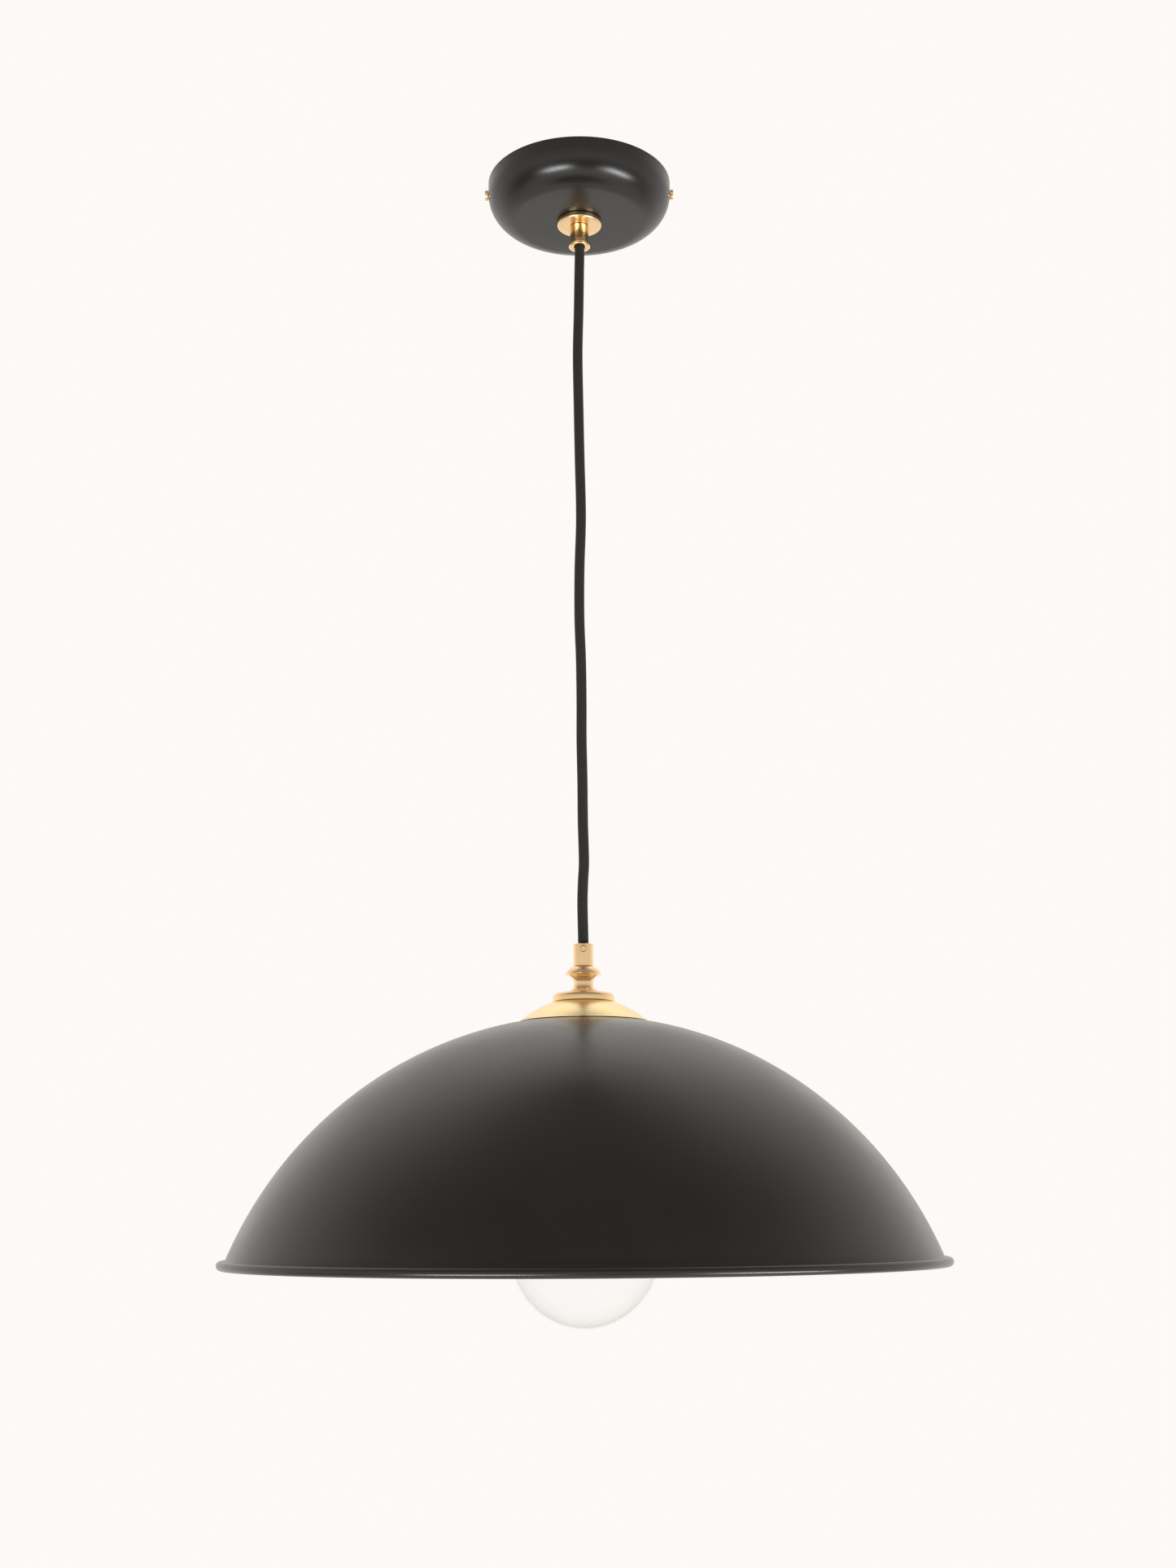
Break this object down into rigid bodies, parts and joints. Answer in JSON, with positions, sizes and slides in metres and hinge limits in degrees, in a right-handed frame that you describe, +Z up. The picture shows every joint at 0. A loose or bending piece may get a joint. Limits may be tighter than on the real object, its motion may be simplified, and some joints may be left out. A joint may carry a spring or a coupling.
{
  "type": "pendant ceiling light",
  "caption": "Pendant ceiling light: black dome shade with turned brass fittings and a clear globe bulb, hung on a black fabric flex from a round ceiling rose.",
  "frame": {"origin": "middle of the ceiling bracket's flat top face, on the ceiling plane", "axes": "+Z up into the ceiling, the lamp hangs along -Z; the rose's side screws lie on +X and -X; the cord grips' grub screws face -Y, the front"},
  "size_m": [0.4498, 0.449, 0.777],
  "materials": {
    "black_paint": "satin black stove enamel",
    "polished_brass": "polished and lacquered",
    "satin_brass": "satin spun",
    "zinc_steel": "bright zinc plate",
    "black_fabric": "woven braid",
    "white_nylon": "moulded nylon",
    "porcelain": "glazed porcelain",
    "brown_pvc": "extruded insulation",
    "blue_pvc": "extruded insulation",
    "green_pvc": "extruded insulation",
    "clear_glass": "clear blown",
    "nickel": "nickel plate",
    "black_glass": "vitrified",
    "tungsten": "drawn wire"
  },
  "bodies": {
    "rose": {"ceiling_bracket": "zinc_steel", "rose_cup": "black_paint", "rose_side_screw_left": "polished_brass", "rose_side_screw_right": "polished_brass", "earth_tag": "nickel", "earth_screw": "polished_brass", "terminal_block": "white_nylon", "terminal_live": "polished_brass", "terminal_earth": "polished_brass", "terminal_neutral": "polished_brass", "terminal_screw_live_flex": "zinc_steel", "terminal_screw_live_supply": "zinc_steel", "terminal_screw_earth_flex": "zinc_steel", "terminal_screw_earth_supply": "zinc_steel", "terminal_screw_neutral_flex": "zinc_steel", "terminal_screw_neutral_supply": "zinc_steel", "block_screw": "zinc_steel", "core_live": "brown_pvc", "core_earth": "green_pvc", "core_neutral": "blue_pvc", "earth_link": "green_pvc", "rose_washer": "zinc_steel", "rose_locknut": "polished_brass", "rose_flange": "polished_brass", "rose_cord_grip": "polished_brass", "rose_grub_screw": "polished_brass", "flex_rose_end": "black_fabric"},
    "flex_bend_upper": {"flex_bend_upper": "black_fabric"},
    "flex_upper": {"flex_upper": "black_fabric"},
    "flex_lower": {"flex_lower": "black_fabric"},
    "flex_bend_lower": {"flex_bend_lower": "black_fabric"},
    "lamp": {"flex_lamp_end": "black_fabric", "shade": "black_paint", "brass_cap": "satin_brass", "disc_washer": "polished_brass", "turned_coupler": "polished_brass", "lamp_cord_grip": "polished_brass", "lamp_grub_screw": "polished_brass", "threaded_nipple": "polished_brass", "shade_washer": "zinc_steel", "shade_locknut": "polished_brass", "holder_cap": "polished_brass", "holder_skirt": "polished_brass", "holder_insert": "porcelain", "holder_screw_shell": "polished_brass", "holder_centre_contact": "polished_brass", "holder_post_live": "nickel", "holder_post_neutral": "nickel", "holder_post_earth": "nickel", "holder_core_live": "brown_pvc", "holder_core_neutral": "blue_pvc", "holder_core_earth": "green_pvc"},
    "bulb_contact": {"bulb_tip_contact": "nickel"},
    "bulb": {"bulb_globe": "clear_glass", "bulb_screw_cap": "nickel", "bulb_cap_insulator": "black_glass", "bulb_stem": "clear_glass", "bulb_lead_left": "nickel", "bulb_lead_right": "nickel", "bulb_filament": "tungsten"}
  },
  "joints": [
    {"name": "swing_side", "type": "hinge", "parent": "rose", "child": "flex_bend_upper", "pos_m": [0, 0, -0.062], "axis": [0, 1, 0], "range_deg": [-30, 30]},
    {"name": "swing_front", "type": "hinge", "parent": "flex_bend_upper", "child": "flex_upper", "pos_m": [0, 0, -0.084], "axis": [1, 0, 0], "range_deg": [-30, 30]},
    {"name": "flex_twist", "type": "hinge", "parent": "flex_upper", "child": "flex_lower", "pos_m": [0, 0, -0.2955], "axis": [0, 0, 1], "range_deg": [-90, 90]},
    {"name": "tilt_front", "type": "hinge", "parent": "flex_lower", "child": "flex_bend_lower", "pos_m": [0, 0, -0.507], "axis": [1, 0, 0], "range_deg": [-20, 20]},
    {"name": "tilt_side", "type": "hinge", "parent": "flex_bend_lower", "child": "lamp", "pos_m": [0, 0, -0.529], "axis": [0, 1, 0], "range_deg": [-20, 20]},
    {"name": "bulb_travel", "type": "slide", "parent": "lamp", "child": "bulb_contact", "axis": [0, 0, 1], "range_m": [-0.0092, 0]},
    {"name": "bulb_turn", "type": "hinge", "parent": "bulb_contact", "child": "bulb", "pos_m": [0, 0, -0.639], "axis": [0, 0, 1], "range_deg": [-900, 0]}
  ],
  "couplings": [
    {"joint": "bulb_travel", "follows": "bulb_turn", "m_per_rad": 0.00057296}
  ]
}
